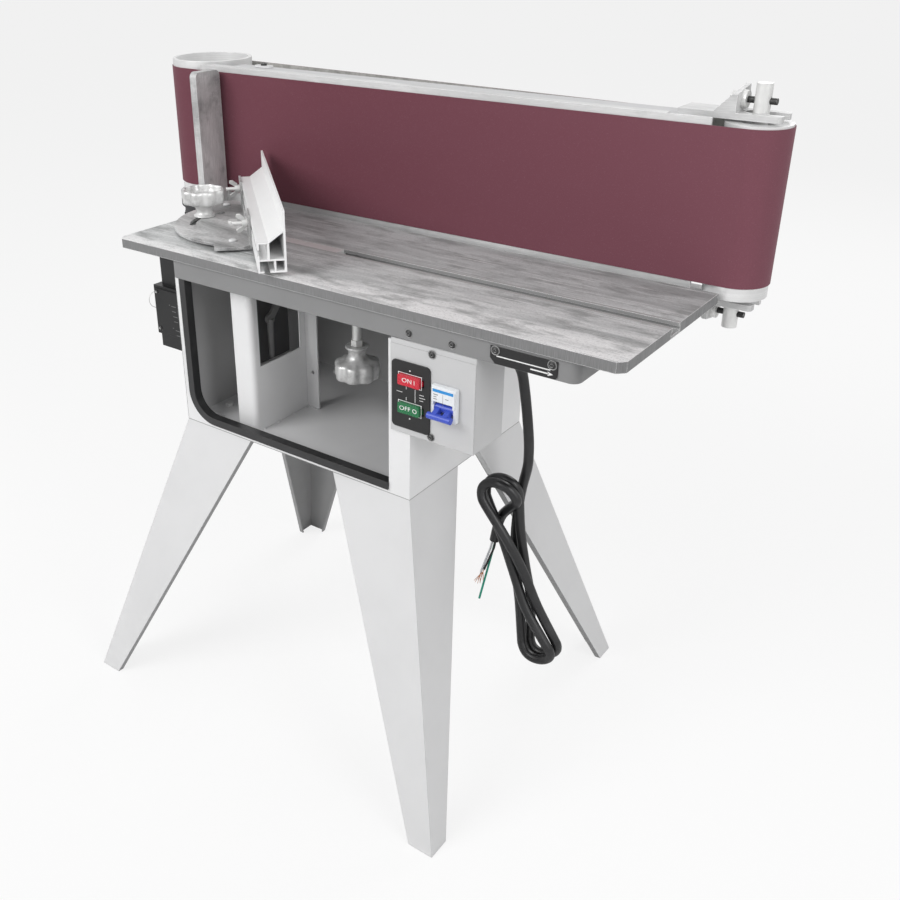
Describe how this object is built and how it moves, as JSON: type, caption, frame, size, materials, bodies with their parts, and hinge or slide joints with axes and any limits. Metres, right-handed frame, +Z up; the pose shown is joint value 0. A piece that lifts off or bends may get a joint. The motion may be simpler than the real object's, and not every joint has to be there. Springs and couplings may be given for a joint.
{
  "type": "horizontal vertical belt sander",
  "caption": "Edge belt sander on splayed sheet-metal legs, with a tilting belt head, slotted table, miter gauge and fence, switch and breaker.",
  "frame": {"origin": "centre of the machine's outline, on the floor under the feet", "axes": "+X along the belt from the drive drum to the idler, +Y from the table towards the back of the head, +Z up"},
  "size_m": [1.183, 0.567, 1.004],
  "materials": {
    "white_paint": "satin powder coat",
    "grey_paint": "satin powder coat",
    "head_paint": "satin paint",
    "motor_paint": "semi-matt paint",
    "table_steel": "ground steel, worn",
    "rail_steel": "mill finish",
    "plate_steel": "zinc plated, worn",
    "platen_steel": "bright steel",
    "stop_steel": "worn steel with smudges",
    "zinc_steel": "bright zinc",
    "black_steel": "black oxide",
    "cast_aluminium": "polished casting",
    "fence_aluminium": "satin anodised",
    "drum_aluminium": "turned",
    "trim_rubber": "matt",
    "cord_rubber": "satin jacket",
    "green_sheath": "insulation with bare copper ends",
    "black_plastic": "satin",
    "red_plastic": "moulded",
    "green_plastic": "moulded",
    "white_plastic": "moulded",
    "blue_plastic": "moulded",
    "belt_grit": "aluminium oxide abrasive cloth"
  },
  "bodies": {
    "base": {"cabinet_shell": "white_paint", "window_trim": "trim_rubber", "column": "white_paint", "leg_front_left": "white_paint", "leg_front_right": "white_paint", "leg_rear_left": "white_paint", "leg_rear_right": "white_paint", "leg_bolts": "zinc_steel", "underframe": "rail_steel", "frame_bolts": "zinc_steel", "control_box": "grey_paint", "control_cover": "grey_paint", "cover_screws": "black_steel", "switch_plate": "black_plastic", "breaker_body": "white_plastic", "arrow_plate": "black_plastic", "cable_gland": "black_plastic", "power_cord": "cord_rubber", "cord_hank": "cord_rubber", "cord_wires": "green_sheath", "hinge_brackets": "white_paint", "tilt_pins": "zinc_steel"},
    "on_key": {"on_key": "red_plastic"},
    "off_key": {"off_key": "green_plastic"},
    "breaker_lever": {"breaker_lever": "blue_plastic"},
    "lock_lever": {"lock_lever": "black_steel"},
    "table": {"table_top": "table_steel", "table_stud": "zinc_steel", "clamp_sleeve": "zinc_steel"},
    "table_knob": {"table_knob": "cast_aluminium"},
    "miter_slider": {"miter_bar": "zinc_steel", "miter_stud": "zinc_steel", "miter_pivot": "zinc_steel"},
    "miter_head": {"miter_plate": "plate_steel", "fence_bracket": "plate_steel", "fence_bolts": "zinc_steel"},
    "miter_knob": {"miter_knob": "cast_aluminium"},
    "fence": {"fence": "fence_aluminium"},
    "wing_nut_front": {"wing_nut_front": "zinc_steel"},
    "wing_nut_rear": {"wing_nut_rear": "zinc_steel"},
    "head": {"head_beam": "head_paint", "platen": "platen_steel", "drive_plate": "head_paint", "stop_bar": "stop_steel", "fork_top": "platen_steel", "fork_bottom": "platen_steel", "hinge_arms": "head_paint", "lock_quadrant": "head_paint", "motor_body": "motor_paint", "fan_cover": "motor_paint", "terminal_box": "black_plastic", "tension_nuts": "zinc_steel", "sanding_belt": "belt_grit"},
    "drive": {"motor_shaft": "platen_steel", "motor_fan": "black_plastic", "drive_drum": "drum_aluminium"},
    "idler_carriage": {"idler_axle": "zinc_steel", "tension_bolts": "black_steel"},
    "idler": {"idler_drum": "drum_aluminium", "idler_bearings": "platen_steel"}
  },
  "joints": [
    {"name": "head_tilt", "type": "hinge", "parent": "base", "child": "head", "pos_m": [0.05345, 0.204, 0.71], "axis": [-1, 0, 0], "range_deg": [0, 90]},
    {"name": "drive_spin", "type": "hinge", "parent": "head", "child": "drive", "pos_m": [-0.42655, 0.2046, 0.85], "axis": [0, 0, 1], "continuous": true},
    {"name": "idler_tension", "type": "slide", "parent": "head", "child": "idler_carriage", "axis": [-1, 0, 0], "range_m": [0, 0.007]},
    {"name": "idler_spin", "type": "hinge", "parent": "idler_carriage", "child": "idler", "pos_m": [0.54845, 0.1771, 0.85], "axis": [0, 0, 1], "continuous": true},
    {"name": "table_slide", "type": "slide", "parent": "base", "child": "table", "axis": [0, -1, 0], "range_m": [0, 0.04]},
    {"name": "table_knob_turn", "type": "hinge", "parent": "table", "child": "table_knob", "pos_m": [0.04845, 0.001, 0.57], "axis": [0, 0, 1], "range_deg": [0, 360]},
    {"name": "miter_slide", "type": "slide", "parent": "table", "child": "miter_slider", "axis": [1, 0, 0], "range_m": [0, 0.5]},
    {"name": "miter_swing", "type": "hinge", "parent": "miter_slider", "child": "miter_head", "pos_m": [-0.18755, -0.011, 0.754], "axis": [0, 0, 1], "range_deg": [-47, 30]},
    {"name": "miter_knob_turn", "type": "hinge", "parent": "miter_slider", "child": "miter_knob", "pos_m": [-0.24955, -0.011, 0.78], "axis": [0, 0, 1], "range_deg": [0, 360]},
    {"name": "fence_slide", "type": "slide", "parent": "miter_head", "child": "fence", "axis": [0.7314, -0.682, 0], "range_m": [0, 0.014]},
    {"name": "wing_nut_front_turn", "type": "hinge", "parent": "miter_head", "child": "wing_nut_front", "pos_m": [-0.09634, -0.07008, 0.783], "axis": [-0.682, -0.7314, 0], "range_deg": [0, 360]},
    {"name": "wing_nut_rear_turn", "type": "hinge", "parent": "miter_head", "child": "wing_nut_rear", "pos_m": [-0.25285, 0.07587, 0.783], "axis": [-0.682, -0.7314, 0], "range_deg": [0, 360]},
    {"name": "lock_lever_turn", "type": "hinge", "parent": "base", "child": "lock_lever", "pos_m": [-0.16455, 0.13969, 0.69515], "axis": [-1, 0, 0], "range_deg": [0, 40]},
    {"name": "on_key_press", "type": "slide", "parent": "base", "child": "on_key", "axis": [0, 1, 0], "range_m": [0, 0.003], "stiffness_N_per_m": 400},
    {"name": "off_key_press", "type": "slide", "parent": "base", "child": "off_key", "axis": [0, 1, 0], "range_m": [0, 0.003], "stiffness_N_per_m": 400},
    {"name": "breaker_throw", "type": "hinge", "parent": "base", "child": "breaker_lever", "pos_m": [0.31345, -0.154, 0.6277], "axis": [-1, 0, 0], "range_deg": [0, 50]}
  ],
  "couplings": [
    {"joint": "idler_spin", "follows": "drive_spin", "ratio": 1.6627}
  ]
}
